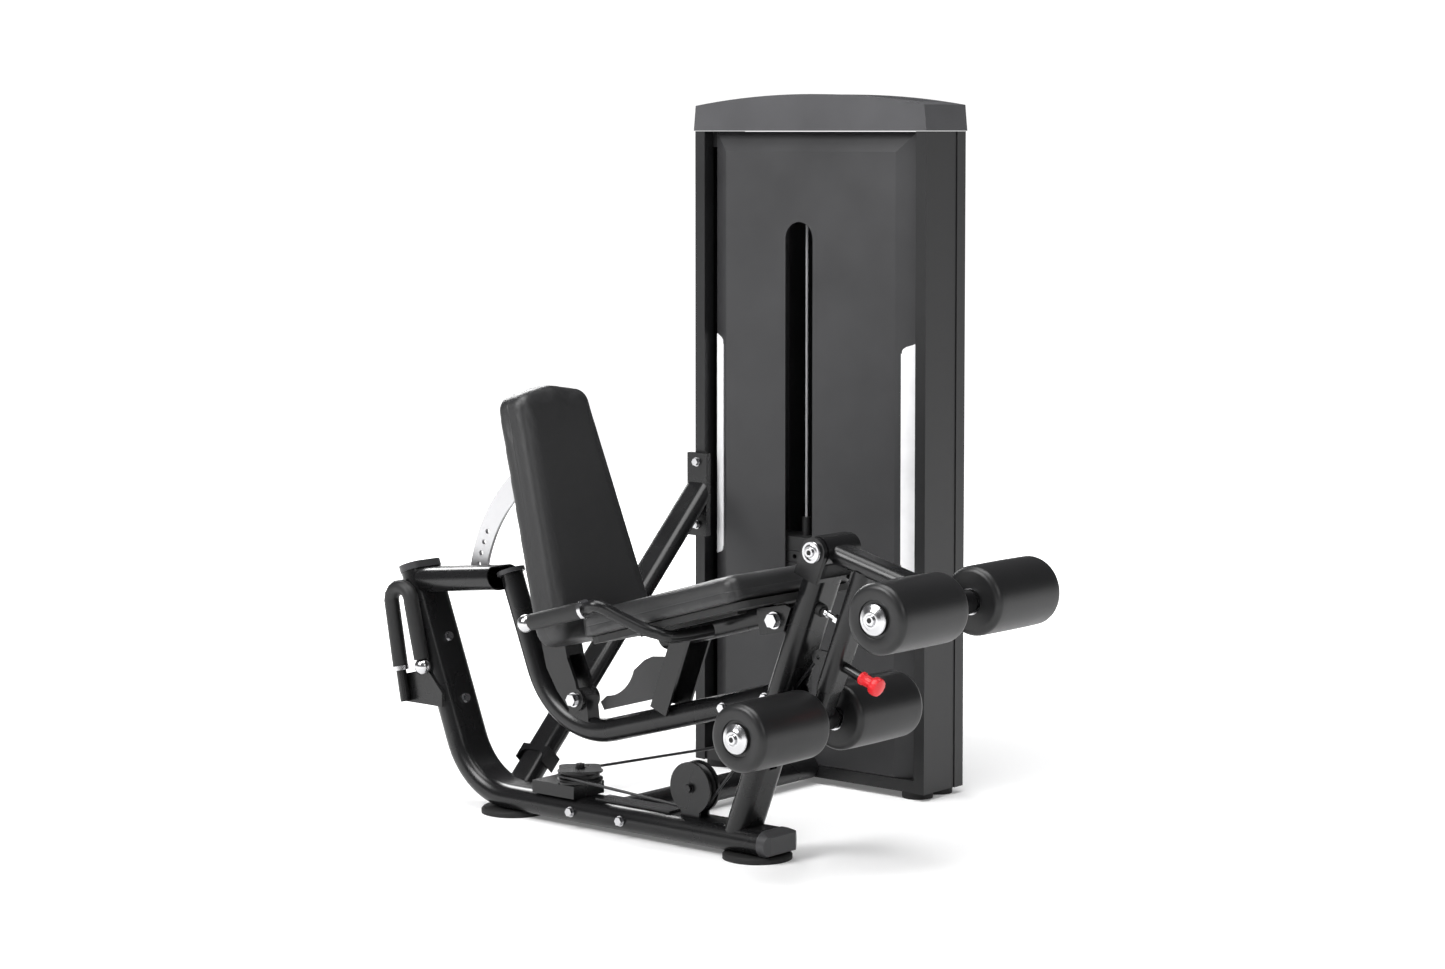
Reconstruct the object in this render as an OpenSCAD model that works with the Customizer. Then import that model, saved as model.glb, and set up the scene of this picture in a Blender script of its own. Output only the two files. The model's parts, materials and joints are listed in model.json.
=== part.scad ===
// Seated leg extension and leg curl machine with a weight stack tower.
// +X is the way the user faces, +Y points from the bench to the tower, +Z is up.
// Bench places are [x, y, z] from the tower's right-hand face and the bench's middle plane.

/* [Tower] */
// Overall height to the top of the arched cap
tower_h = 1500; // [1400:10:1600]
// Width of the tower along the bench
tower_w = 638; // [600:2:680]
// Depth of the tower frame
tower_d = 140; // [130:2:160]
// Distance from the bench's middle plane to the tower's face
bench_gap = 625; // [600:5:680]
// Width of the slot in the front panel
slot_w = 76; // [60:2:90]
// Plates that stay down when the stack is at rest
plates_low = 11; // [8:1:12]
// Plates between the head and the selector pin
plates_up = 4; // [2:1:5]

/* [Frame] */
// Width of the flat-oval frame tube
oval_w = 100; // [90:2:110]
// Thickness of the flat-oval frame tube
oval_t = 50; // [44:2:56]
// Wall of the frame tubes
wall = 3; // [2:0.5:4]
// Outside diameter of the round seat tube
seat_tube_d = 48; // [42:1:52]
// Lean of the front post from upright
post_lean = 20.9; // [18:0.1:24]
// Rise of the seat towards the knee
seat_tilt = 15.5; // [12:0.5:18]

/* [Lever] */
// Diameter of the foam rollers
roller_d = 132; // [110:2:140]
// Length of one foam roller
roller_l = 206; // [180:2:210]
// Gap between the two rollers of a pair
roller_gap = 88; // [84:2:100]
// Width of the flat-oval lever tube
bar_w = 64; // [58:2:70]
// Thickness of the flat-oval lever tube
bar_t = 36; // [32:2:40]

/* [Pads] */
// Thickness of the seat cushion
seat_t = 55; // [45:1:60]
// Thickness of the back cushion
back_t = 74; // [60:1:80]
// Recline of the back cushion from upright
back_lean = 18; // [14:0.5:20]

/* [Hidden] */
$fn = 64;
soft_fn = 32;

// The model's origin is the middle of its footprint on the floor.
reach_front = 605;
reach_back = 910;
reach_near = 261;
shroud_d = 56;
shift_x = (reach_back - reach_front) / 2;
tower_face_y = (bench_gap + reach_near - tower_d - shroud_d) / 2;
bench_y = tower_face_y - bench_gap;

seam = 0.02;
foot_t = 12;
beam_z = foot_t + oval_t / 2 - 1;
beam_top = beam_z + oval_t / 2;
beam_front_x = 98;
rear_bend = [-587, 0, beam_z + 162];
rear_bend_r = 162;
rear_lean = 21.4;
rear_post_l = 373;
rear_beam_rise = 6;
rear_beam_end = [-852, 0, 467.3];
rear_beam_l = 245;

// Round seat tube: upper run leans back, then a wide bend, then a rising lower run.
seat_bend = [-365.4, 0, 377.4];
seat_bend_r = 176;
seat_tube_lean = 22;
seat_tube_up = 204;
seat_tube_run = 505;

// The knee pivot, with places on the head measured across and along the post's lean.
knee = [243, 0, 623];
bar_x = 93.6;
low_axle_z = -320.7;
arm_rise = 6.3;
arm_l = 305.9;
post_w = 90;
post_t = 48;
post_top = -56;
post_slot_z = -364;
post_slot_l = 204;
lug = [49, -207];
lug_r = 15;
pin_z = -197;
stop_z = -113;
stop_y = -14;
axle_d = 25;
roller_y = roller_gap / 2;

// Hinge of the back rest and the arc plate that sets its recline.
back_hinge = [-436, 0, 430];
arc_out = 349;
arc_in = 303;
arc_y = 58;
hole_step = 4.5;
hole_a = 8.2;
back_pin_at = back_hinge + (arc_out + arc_in) / 2 * [-cos(hole_a), 0, sin(hole_a)];
back_foot = [-385, 0, 375];
back_h = 543;

// Seat cushion, measured from its rear lower edge.
seat_rear = [-300, 0, 407];
seat_l = 484;
rail_z0 = 410;
rail_x0 = -181;

grip_y = 235;
cable_d = 6;
cable_gap = 0.6;
base_pulley = [-101, 0, 118];
base_pulley_r = 45;
turn_pulley = [-412, 0, 103];
turn_pulley_r = 44;
tower_mid = -tower_w / 2;
slot_x = tower_mid - 28;
stack_x = tower_mid - 47;
low_pulley_r = 30;
low_pulley = [tower_mid, 138, 103 + low_pulley_r];
// The top pulley hangs over both the rising cable and the stack.
cable_up = [tower_mid, low_pulley[1] + low_pulley_r];
top_pulley_z = 1315;

post_d = 27;
beam_low = 1385;
stack_y = 58;
plate_t = 24;
plate_step = 25;
stack_z = 130;
stack_low_top = stack_z + plates_low * plate_step;
stack_top = stack_low_top + plates_up * plate_step;
head_t = 30;
rod_dx = 92;
rod_d = 25;

// ---- shared placing and shapes ----

module bench() translate([shift_x, bench_y, 0]) children();
module tower() translate([shift_x, tower_face_y, 0]) children();

// Frame of the knee head: origin at the pivot, Z up the post's lean, X forward across it.
module head() bench() translate(knee) rotate([0, post_lean, 0]) children();
// Frame of the back rest: origin at the cushion's lower rear edge, Z up its lean.
module back() bench() translate(back_foot) rotate([0, -back_lean, 0]) children();
// Frame of the seat: origin at the rear lower edge, X forward along the seat.
module seat() bench() translate(seat_rear) rotate([0, -seat_tilt, 0]) children();

// Turn the children's Z axis to a direction, and start them at a point.
module aim(p, v) translate(p) rotate([0, acos(v[2] / norm(v)), atan2(v[1], v[0])]) children();
// Straight rod between two points.
module rod(a, b, d) aim(a, b - a) cylinder(h = norm(b - a), d = d);

// Round tube swept along a smooth chain of points that never runs straight up.
function chain_way(pts, i) = pts[min(i + 1, len(pts) - 1)] - pts[max(i - 1, 0)];
function ring_points(p, way, r, n) = let (u = cross(way, [0, 1, 0.01]) / norm(cross(way, [0, 1, 0.01])),
    v = cross(way, u) / norm(way)) [for (k = [0:n - 1]) p + r * (cos(k * 360 / n) * u + sin(k * 360 / n) * v)];
module chain_tube(pts, d, n = 16) {
    m = len(pts);
    polyhedron(points = [for (i = [0:m - 1]) each ring_points(pts[i], chain_way(pts, i), d / 2, n)],
        faces = concat([[for (k = [0:n - 1]) k]], [[for (k = [n - 1:-1:0]) (m - 1) * n + k]],
            [for (i = [0:m - 2], k = [0:n - 1]) [i * n + k, (i + 1) * n + k, (i + 1) * n + (k + 1) % n, i * n + (k + 1) % n]]));
}
// Round the corners of a chain of points: each corner becomes a short curve that starts and ends g away.
function corner(a, b, c, g) = let (u = (a - b) / norm(a - b), v = (c - b) / norm(c - b))
    [for (t = [0:0.2:1]) b + g * ((1 - t) ^ 2 * u + t ^ 2 * v)];
function rounded(pts, g) = concat([pts[0]], [for (i = [1:len(pts) - 2]) each corner(pts[i - 1], pts[i], pts[i + 1], g)],
    [pts[len(pts) - 1]]);

// Cylinder along Y from y0 to y1.
module pin_y(d, y0, y1) translate([0, y0, 0]) rotate([-90, 0, 0]) cylinder(h = y1 - y0, d = d);

// Flat oval: t across X, w across Y.
module oval(t, w) {
    square([t, w - t], center = true);
    for (s = [-1, 1]) translate([0, s * (w - t) / 2]) circle(d = t);
}
module oval_tube(t, w) difference() { oval(t, w); oval(t - 2 * wall, w - 2 * wall); }
module round_tube(d, t) difference() { circle(d = d); circle(d = d - 2 * t); }

// Extrude the children along a direction in the XZ plane, a degrees up from +X.
module run_xz(p, a, l) translate(p) rotate([0, 90 - a, 0]) linear_extrude(l) children();
// Sweep the children round a centre in the XZ plane, from one angle by another.
module arc_xz(c, r, from, sweep)
    translate(c) rotate([0, -from, 0]) rotate([90, 0, 0])
        rotate_extrude(angle = sweep, $fn = 96) translate([r, 0]) children();
// Extrude an XZ outline along Y from y0 to y1.
module slab(y0, y1) translate([0, y1, 0]) rotate([90, 0, 0]) linear_extrude(y1 - y0) children();

// Rounded box made of four round corners, flat top and bottom.
module round_rect(w, h, r) {
    square([w, h - 2 * r], center = true);
    square([w - 2 * r, h], center = true);
    for (x = [-1, 1], y = [-1, 1]) translate([x * (w / 2 - r), y * (h / 2 - r)]) circle(r = r);
}

// Hex bolt head with its washer, standing on Z = 0.
module bolt_head(d) {
    cylinder(h = d * 0.15, d = d * 1.25);
    cylinder(h = d * 0.55, d = d * 1.05, $fn = 6);
}

// ---- base and frame ----

// A bent tube is its straight lengths and its bends, with a hairline between them where asked.
module base_path(seam = 0) {
    run_xz([rear_bend[0] + seam, 0, beam_z], 0, beam_front_x - rear_bend[0]) children();
    arc_xz(rear_bend, rear_bend_r, -180 + rear_lean, 90 - rear_lean) children();
    rear_post_path(seam) children();
}
rear_post_up = [-sin(rear_lean), 0, cos(rear_lean)];
rear_post_foot = rear_bend + rear_bend_r * [-cos(rear_lean), 0, -sin(rear_lean)];
module rear_post_path(seam = 0)
    run_xz(rear_post_foot + seam * rear_post_up, 90 + rear_lean, rear_post_l) children();
module rear_beam_path() run_xz(rear_beam_end, rear_beam_rise, rear_beam_l) children();
module post_path() rotate([180, 0, 0]) translate([0, 0, -post_top]) linear_extrude(570) children();
seat_tube_rise = [-sin(seat_tube_lean), 0, cos(seat_tube_lean)];
seat_bend_top = seat_bend + seat_bend_r * [-cos(seat_tube_lean), 0, -sin(seat_tube_lean)];
module seat_tube_upper(seam = 0)
    run_xz(seat_bend_top + seam * seat_tube_rise, 90 + seat_tube_lean, seat_tube_up) children();
module seat_tube_path(seam = 0) {
    low = seat_bend + seat_bend_r * [sin(seat_tilt), 0, -cos(seat_tilt)];
    seat_tube_upper(seam) children();
    arc_xz(seat_bend, seat_bend_r, 180 + seat_tube_lean, 90 + seat_tilt - seat_tube_lean) children();
    run_xz(low + seam * [cos(seat_tilt), 0, sin(seat_tilt)], seat_tilt, seat_tube_run) children();
}
module rail_path() run_xz([rail_x0 + 10, 0, rail_z0 + 3], seat_tilt, 270) children();

module base_beam() color("#1c1c1d") bench() base_path(seam) oval_tube(oval_t, oval_w);

module end_cap() {
    intersection() {
        translate([-1, 0, 0]) rotate([0, 90, 0]) linear_extrude(28) oval(oval_t + 3, oval_w + 3);
        translate([-20, 0, 0]) hull() {
            translate([0, -oval_w / 2 + 4, -oval_t / 2 - 2]) cube([22, oval_w - 8, oval_t + 4]);
            translate([40, -oval_w / 2 + 14, -oval_t / 2 + 8]) cube([8, oval_w - 28, oval_t - 16]);
            translate([0, -oval_w / 2 - 2, -oval_t / 2 + 4]) cube([38, oval_w + 4, oval_t - 8]);
        }
    }
}
module beam_end_caps() color("#4a4a4c") bench() {
    translate([beam_front_x + 1, 0, beam_z]) end_cap();
    run_xz(rear_post_foot + rear_post_l * rear_post_up, 90 + rear_lean, 15) oval(oval_t + 3, oval_w + 3);
    run_xz(seat_bend_top + seat_tube_up * seat_tube_rise, 90 + seat_tube_lean, 9) circle(d = 60);
}

// The rear beam is cut flat to the front of the post and to the rear of the seat tube.
module rear_beam() color("#1c1c1d") bench() difference() {
    rear_beam_path() oval_tube(oval_t, oval_w);
    translate(rear_post_foot) rotate([0, -rear_lean, 0])
        translate([-200, -oval_w, 0]) cube([200 + oval_t / 2, 2 * oval_w, 500]);
    translate(seat_bend_top) rotate([0, -seat_tube_lean, 0])
        translate([-seat_tube_d / 2, -oval_w, -50]) cube([200, 2 * oval_w, 400]);
}

module cross_beam() color("#1c1c1d") bench() difference() {
    translate([tower_mid, 0, beam_z]) rotate([-90, 0, 0]) linear_extrude(bench_gap + 4) rotate(90) oval_tube(oval_t, 60);
    base_path() oval(oval_t, oval_w);
}

brace_x = -624;
brace_bolts = [545, 685];
module brace_path(a, b) {
    v = b - a;
    translate(a) rotate([-acos(v[2] / norm(v)), 0, 0]) linear_extrude(norm(v)) children();
}
module diagonal_brace() color("#1c1c1d") bench() difference() {
    brace_path([brace_x, 25, 25], [brace_x, bench_gap, 625]) rotate(90) oval_tube(40, 70);
    arc_xz(rear_bend, rear_bend_r, -180 + rear_lean, 90 - rear_lean) oval(oval_t, oval_w);
    translate([brace_x - 100, -50, -60]) cube([200, 150, 105]);
    translate([brace_x - 100, bench_gap - 14, 400]) cube([200, 200, 400]);
}
module brace_brackets() color("#1c1c1d") bench() {
    // Bridge on the rear beam, over the recline arc, that guides the back rest's pin.
    translate(back_pin_at) difference() {
        translate([-44, oval_w / 2, -12]) cube([70, arc_y + 13 - oval_w / 2, 24]);
        translate([-28, oval_w / 2 + 1, -20]) cube([60, arc_y + 5 - oval_w / 2, 40]);
        pin_y(10.8, oval_w / 2 + 2, 90);
    }
    difference() {
        translate([brace_x - 26, bench_gap - 14, 520]) cube([56, 14, 185]);
        for (z = brace_bolts) translate([brace_x + 2, 0, z]) pin_y(11, bench_gap - 30, bench_gap + 10);
    }
    // Clamp plate bolted on the brace near its foot.
    translate([brace_x, 85, 85]) rotate([-45, 0, 0]) translate([0, 0, 20]) {
        difference() {
            translate([-38, -22, 2]) cube([76, 44, 12]);
            cylinder(h = 30, d = 11);
        }
        difference() {
            translate([-38, -22, -22]) cube([76, 44, 24]);
            translate([0, -30, -20]) rotate([-90, 0, 0]) linear_extrude(60) rotate(90) oval(41, 71);
        }
    }
}

module foot_disc(d) {
    cylinder(h = foot_t - 4, d = d);
    translate([0, 0, foot_t - 4]) cylinder(h = 4, d1 = d, d2 = d - 8);
}
module base_feet() color("#111112") {
    bench() for (x = [60, -600]) difference() {
        translate([x, 0, 0]) foot_disc(138);
        base_path() oval(oval_t, oval_w);
    }
    tower() for (x = [-45, -tower_w + 45], y = [38, tower_d - 32]) translate([x, y, 0]) cylinder(h = 15, d = 66);
}

module front_post() color("#232324") {
    difference() {
        head() post_path() oval_tube(post_t, post_w);
        bench() base_path() oval(oval_t, oval_w);
        head() translate([0, 0, post_slot_z]) cube([post_t + 30, 22, post_slot_l], center = true);
    }
    head() translate([-post_t / 2, -post_w / 2 - 2, post_top]) cube([post_t, post_w + 4, 8]);
    head() for (s = [-1, 1]) difference() {
        slab(s * 52 - 5, s * 52 + 5) difference() {
            union() {
                circle(r = 28);
                translate([-28, post_top]) square([56, -post_top]);
            }
            circle(d = axle_d);
        }
    }
}

module seat_tube() color("#1c1c1d") {
    difference() {
        bench() seat_tube_path(seam) round_tube(seat_tube_d, wall);
        head() post_path() oval(post_t, post_w);
    }
}

// C-channel that stands on the seat tube and carries the seat rail.
strut_foot = [-168, 0, 267];
module seat_strut() color("#232324") bench() difference() {
    translate(strut_foot) rotate([0, post_lean, 0]) linear_extrude(175) difference() {
        square([44, 72], center = true);
        translate([6, 0]) square([44, 60], center = true);
    }
    seat_tube_path() circle(d = seat_tube_d);
    rail_path() circle(d = 50);
    translate([rail_x0 - 80, -60, rail_z0 - 14]) rotate([0, -seat_tilt, 0]) cube([400, 120, 120]);
}

// Side guard between the back arm and the strut.
module guard_plate() color("#4b4b4c") bench() slab(12, 17) difference() {
    polygon([[-366, 257], [-356, 241], [-189, 288], [-160, 371], [-226, 365], [-246, 356]]);
    translate([-356, 355]) circle(r = 84);
}

module seat_rail() color("#1c1c1d") bench() {
    difference() {
        rail_path() round_tube(50, wall);
        translate(knee) rotate([0, post_lean, 0]) post_path() oval(post_t, post_w);
    }
    run_xz([rail_x0 + 4, 0, rail_z0 + 1.4], seat_tilt, 6) circle(d = 50);
    for (s = [-1, 1]) slab(s * 32 - 5, s * 32 + 5) difference() {
        polygon([[88, 498], [96, 446], [156, 460], [186, 470], [194, 500], [160, 512]]);
        translate([134, 480]) circle(d = 16);
        translate([knee[0], knee[2]]) rotate(-post_lean) square([post_t, 2000], center = true);
    }
}

// Curved arm from the lug on the seat tube up to the back rest's hinge.
module back_arm() color("#232324") bench() {
    difference() {
        slab(-26, 26) difference() {
            union() {
                polygon([[-421, 243], [-388, 250], [-402, 300], [-424, 345], [-430, 372], [-418, 412], [-419, 440],
                    [-446, 446], [-496, 372], [-482, 320], [-452, 275]]);
                translate([-404, 262]) circle(r = 24);
                translate([back_hinge[0], back_hinge[2]]) circle(r = 18);
            }
            translate([-404, 262]) circle(d = 16);
            translate([back_hinge[0], back_hinge[2]]) circle(d = 20);
        }
        slab(-18, 18) translate([-460, 225]) square([180, 125]);
        seat_tube_path() circle(d = seat_tube_d);
    }
    difference() {
        slab(-17.5, 17.5) difference() {
            polygon([[-428, 220], [-370, 200], [-380, 270], [-404, 284], [-426, 262]]);
            translate([-404, 262]) circle(d = 16);
        }
        seat_tube_path() circle(d = seat_tube_d);
    }
}

// ---- seat ----

module seat_outline(grow) {
    l = seat_l + grow;
    hull() {
        for (s = [-1, 1]) {
            translate([60 - grow, s * (92 + grow)]) circle(r = 58, $fn = soft_fn);
            translate([l - 28 - grow, s * (160 + grow)]) circle(r = 26, $fn = soft_fn);
        }
    }
}
module seat_board() color("#141415") {
    difference() {
        seat() translate([0, 0, -14]) linear_extrude(13) difference() {
            seat_outline(-14);
            for (x = [150, 330], s = [-1, 1]) translate([x, s * 60]) circle(d = 8);
        }
        bench() rail_path() circle(d = 50.4);
    }
    seat() for (s = [-1, 1]) translate([120, s * 60 - 14, -20]) cube([260, 28, 6]);
}
module seat_cushion() color("#2b2b2c") seat() hull() {
    translate([0, 0, 8]) linear_extrude(seat_t - 20) seat_outline(0);
    linear_extrude(seat_t) seat_outline(-8);
}

// Bent handle tube with a foam grip on each side of the seat.
handle_pts = [[-324, 0, 454], [-186, 0, 492], [-148, 0, 503], [-84, -62, 458], [-40, -100, 442], [-10, -180, 448]];
function handle_p(i, s) = [handle_pts[i][0], s * (grip_y + handle_pts[i][1]), handle_pts[i][2]];
module side_handles() color("#1c1c1d") bench() difference() {
    for (s = [-1, 1]) chain_tube(rounded([for (i = [0:5]) handle_p(i, s)], 16), 25);
    rail_path() circle(d = 50);
}
module handle_grips() color("#161617") bench() for (s = [-1, 1]) difference() {
    rod(handle_p(0, s), handle_p(1, s), 33);
    rod(handle_p(0, s) - [3, 0, 0.8], handle_p(1, s) + [3, 0, 0.8], 25);
}
// Trim ring where a foam grip ends on its tube.
module grip_ring(p, v) aim(p, v) linear_extrude(9) difference() {
    circle(d = 38);
    circle(d = 25);
}
module handle_trim() color("silver") bench() {
    for (s = [-1, 1]) {
        u = (handle_p(1, s) - handle_p(0, s)) / norm(handle_p(1, s) - handle_p(0, s));
        grip_ring(handle_p(1, s), u);
        aim(handle_p(0, s), -u) ball_end(36);
    }
    aim(hook_left[1], hook_left[2] - hook_left[1]) linear_extrude(9) difference() {
        circle(d = 36);
        circle(d = hook_d);
    }
    aim(hook_right[1], hook_right[1] - hook_right[0]) ball_end(36);
}
// Chromed ball that closes a tube's end, cut flat where it sits on the tube.
module ball_end(d) rotate_extrude() intersection() {
    translate([0, d * 0.4]) circle(d = d);
    square([d, d]);
}

// Hook handle behind the rear post: an upturned U of foam on a bare tube.
hook_y = -68;
hook_c = [-864, hook_y, 426];
hook_r = 30;
hook_d = 22;
hook_foam_d = 32;
hook_left = [hook_c - [hook_r, 0, 0], [-868, hook_y, 287], [-853, hook_y, 213]];
hook_right = [hook_c + [hook_r, 0, 0], [-804, hook_y, 307]];
hook_top = [for (a = [180:-15:0]) hook_c + hook_r * [cos(a), 0, sin(a)]];
module hook_handle() color("#1c1c1d") bench() {
    chain_tube(concat([hook_left[2], hook_left[1]], hook_top, [hook_right[1]]), hook_d);
    difference() {
        slab(hook_y + hook_d / 2 + 0.5, -oval_w / 2 + 2)
            polygon([[-868, 210], [-872, 268], [-800, 286], [-756, 240], [-756, 210]]);
        rear_post_path() oval(oval_t, oval_w);
    }
}
module hook_grip() color("#161617") bench() difference() {
    chain_tube(concat([hook_left[1]], hook_top, [hook_right[1] - [0, 0, 3]]), hook_foam_d);
    chain_tube(concat([hook_left[2], hook_left[1]], hook_top, [hook_right[1] - [-1, 0, 7]]), hook_d);
}

// ---- fasteners and pulleys on the frame ----

module bolt_near(x, y, z, d) translate([x, y, z]) rotate([90, 0, 0]) bolt_head(d);
module frame_bolts() color("silver") {
    bench() {
        for (x = [-392, -256]) bolt_near(x, -oval_w / 2, beam_z, 17);
        for (p = [[-8, 291], [100, 323]]) bolt_near(p[0], -seat_tube_d / 2, p[1], 17);
        bolt_near(-404, -26, 262, 24);
        rod([-404, -26, 262], [-404, 26, 262], 16);
        bolt_near(134, -37, 480, 27);
        rod([134, -37, 480], [134, 37, 480], 16);
        for (z = brace_bolts) bolt_near(brace_x + 2, bench_gap - 14, z, 16);
        for (l = [80, 216]) translate(rear_post_foot + l * rear_post_up) rotate([0, 90 - rear_lean, 0])
            translate([0, 0, oval_t / 2]) bolt_head(17);
    }
}

module pulley_brackets() color("#232324") bench() {
    // Flat plate on the base that carries both pulley groups.
    translate([-350, -22, beam_top]) cube([200, 44, 5]);
    // Cheeks of the upright pulley.
    for (s = [-1, 1]) slab(s * 13.5 - 2.5, s * 13.5 + 2.5) difference() {
        union() {
            translate([base_pulley[0], base_pulley[2]]) circle(r = 52);
            translate([base_pulley[0] - 24, beam_top]) square([48, 30]);
        }
        translate([base_pulley[0], base_pulley[2]]) circle(d = 12);
    }
    translate(base_pulley) pin_y(12, -16, 16);
    bolt_near(base_pulley[0], -16, base_pulley[2], 17);
    // Box and two flat plates of the level pulley.
    difference() {
        translate([-504, -46, beam_top]) cube([116, 92, 26]);
        translate([-501, -43, beam_top - 1]) cube([110, 86, 24]);
    }
    for (z = [turn_pulley[2] - 13.5, turn_pulley[2] + 9]) translate([turn_pulley[0], 0, z]) linear_extrude(4.5)
        difference() {
            rotate(45) round_rect(86, 86, 16);
            circle(d = 12);
        }
    translate([turn_pulley[0], 0, beam_top + 26]) cylinder(h = turn_pulley[2] + 16 - beam_top - 26, d = 12);
    translate([turn_pulley[0], 0, turn_pulley[2] + 13.5]) bolt_head(17);
}

// Grooved wheel about Z, centred on Z = 0.
module wheel(r, bore) rotate_extrude($fn = 96) difference() {
    translate([bore / 2, -9]) square([r + 3 - bore / 2, 18]);
    polygon([[r - 3.8, -3.6], [r + 3.1, -6.8], [r + 3.1, 6.8], [r - 3.8, 3.6]]);
    translate([bore / 2 + 8, 4]) square([r - 18 - bore / 2, 8]);
    translate([bore / 2 + 8, -12]) square([r - 18 - bore / 2, 8]);
}
module base_pulley_wheel() color("#1a1a1b") bench() translate(base_pulley) rotate([90, 0, 0])
    wheel(base_pulley_r, 12.1);
module turn_pulley_wheel() color("#1a1a1b") bench() translate(turn_pulley) wheel(turn_pulley_r, 12.1);
module tower_pulley_low() color("#1a1a1b") tower() translate(low_pulley) rotate([0, 90, 0])
    wheel(low_pulley_r, 12.1);
top_span = [stack_x, stack_y] - cable_up;
top_r = norm(top_span) / 2;
top_pulley = [(stack_x + cable_up[0]) / 2, (stack_y + cable_up[1]) / 2, top_pulley_z];
module top_place() tower() translate(top_pulley) rotate([0, 0, atan2(top_span[1], top_span[0])]) rotate([90, 0, 0])
    children();
module tower_pulley_top() color("#1a1a1b") top_place() wheel(top_r, 12.1);
module pulley_axles() color("silver") {
    tower() translate(low_pulley) rotate([0, 90, 0]) cylinder(h = 60, d = 12, center = true);
    top_place() cylinder(h = 60, d = 12, center = true);
}
module pulley_hangers() color("#232324") {
    tower() for (s = [-1, 1]) translate(low_pulley + [s * 22 - 2.5, 0, 0]) difference() {
        translate([0, -16, -low_pulley[2] + 45]) cube([5, 32, low_pulley[2] - 29]);
        rotate([0, 90, 0]) cylinder(h = 20, d = 12, center = true);
    }
    top_place() for (s = [-1, 1]) difference() {
        translate([-16, -16, s * 22 - 2.5]) cube([32, beam_low - top_pulley_z + 16, 5]);
        cylinder(h = 80, d = 12, center = true);
    }
}

// ---- cables ----

lug_bench = [knee[0] + lug[0] * cos(post_lean) + lug[1] * sin(post_lean), 0,
    knee[2] - lug[0] * sin(post_lean) + lug[1] * cos(post_lean)];
to_lug = lug_bench - base_pulley;
base_tangent_a = 90 + atan2(to_lug[2], to_lug[0]) - acos(base_pulley_r / norm(to_lug));
base_tangent = [base_pulley[0] + base_pulley_r * sin(base_tangent_a), 0,
    base_pulley[2] - base_pulley_r * cos(base_tangent_a)];
// A cable's straight run, a hairline clear of the bends at both of its ends.
module cable_run(a, b) {
    u = (b - a) / norm(b - a);
    rod(a + cable_gap * u, b - cable_gap * u, cable_d);
}
module lift_cable() color("#2a2a2b") {
    bench() {
        arc_xz(base_pulley, base_pulley_r, -90, base_tangent_a) circle(d = cable_d);
        cable_run(base_pulley - [0, 0, base_pulley_r], turn_pulley - [0, turn_pulley_r, 0]);
        translate(turn_pulley) rotate(-90 - turn_wrap) rotate_extrude(angle = turn_wrap)
            translate([turn_pulley_r, 0]) circle(d = cable_d);
        cable_run(turn_leave, low_arrive);
    }
    // Up the back of the tower and over the top pulley.
    tower() {
        translate(low_pulley) rotate([0, 90, 0]) rotate_extrude(angle = 90) translate([low_pulley_r, 0])
            circle(d = cable_d);
        cable_run([cable_up[0], cable_up[1], low_pulley[2]], [cable_up[0], cable_up[1], top_pulley_z]);
    }
    top_place() rotate_extrude(angle = 180) translate([top_r, 0]) circle(d = cable_d);
}
// The cable leaves the level pulley on a line that ends at the tower's low pulley.
low_arrive = [low_pulley[0], bench_gap + low_pulley[1], turn_pulley[2]];
to_low = low_arrive - turn_pulley;
turn_wrap = 270 - atan2(to_low[1], to_low[0]) - acos(turn_pulley_r / norm(to_low));
turn_leave = turn_pulley + turn_pulley_r * [cos(-90 - turn_wrap), sin(-90 - turn_wrap), 0];
module cable_to_lever() color("#2a2a2b") bench() {
    way = (lug_bench - base_tangent) / norm(lug_bench - base_tangent);
    rod(base_tangent + cable_gap * way, lug_bench - (lug_r + cable_gap) * way, cable_d);
}
module cable_to_stack() color("#2a2a2b") tower() rod([stack_x, stack_y, stack_top + head_t + 40],
    [stack_x, stack_y, top_pulley_z], cable_d);

// ---- tower ----

side_t = 3;
module tower_frame() color("#3a3a3c") tower() {
    // Corner posts.
    for (x = [-post_d, -tower_w], y = [0, tower_d - 30]) translate([x, y, 15]) difference() {
        cube([post_d, 30, tower_h - 15 - 80]);
        translate([wall, wall, -1]) cube([post_d - 2 * wall, 30 - 2 * wall, tower_h]);
    }
    // Side walls between the posts.
    for (x = [-side_t - 2, -tower_w + 2]) translate([x, 30, 15]) cube([side_t, tower_d - 60, tower_h - 95]);
    // Floor plate, top beam and the cross tubes that carry the pulleys.
    difference() {
        translate([-tower_w + post_d, 4, 15]) cube([tower_w - 2 * post_d, tower_d - 8, 26]);
        translate([-tower_w + post_d + 3, 7, 12]) cube([tower_w - 2 * post_d - 6, tower_d - 14, 26]);
        for (s = [-1, 1]) translate([stack_x + s * rod_dx, stack_y, 0]) cylinder(h = 60, d = rod_d);
    }
    difference() {
        translate([-tower_w + post_d, 28, beam_low]) cube([tower_w - 2 * post_d, tower_d - 48, 34]);
        translate([-tower_w + post_d - 1, 31, beam_low + 3]) cube([tower_w - 2 * post_d + 2, tower_d - 54, 28]);
        for (s = [-1, 1]) translate([stack_x + s * rod_dx, stack_y, beam_low - 15]) cylinder(h = 60, d = rod_d);
    }
}

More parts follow.
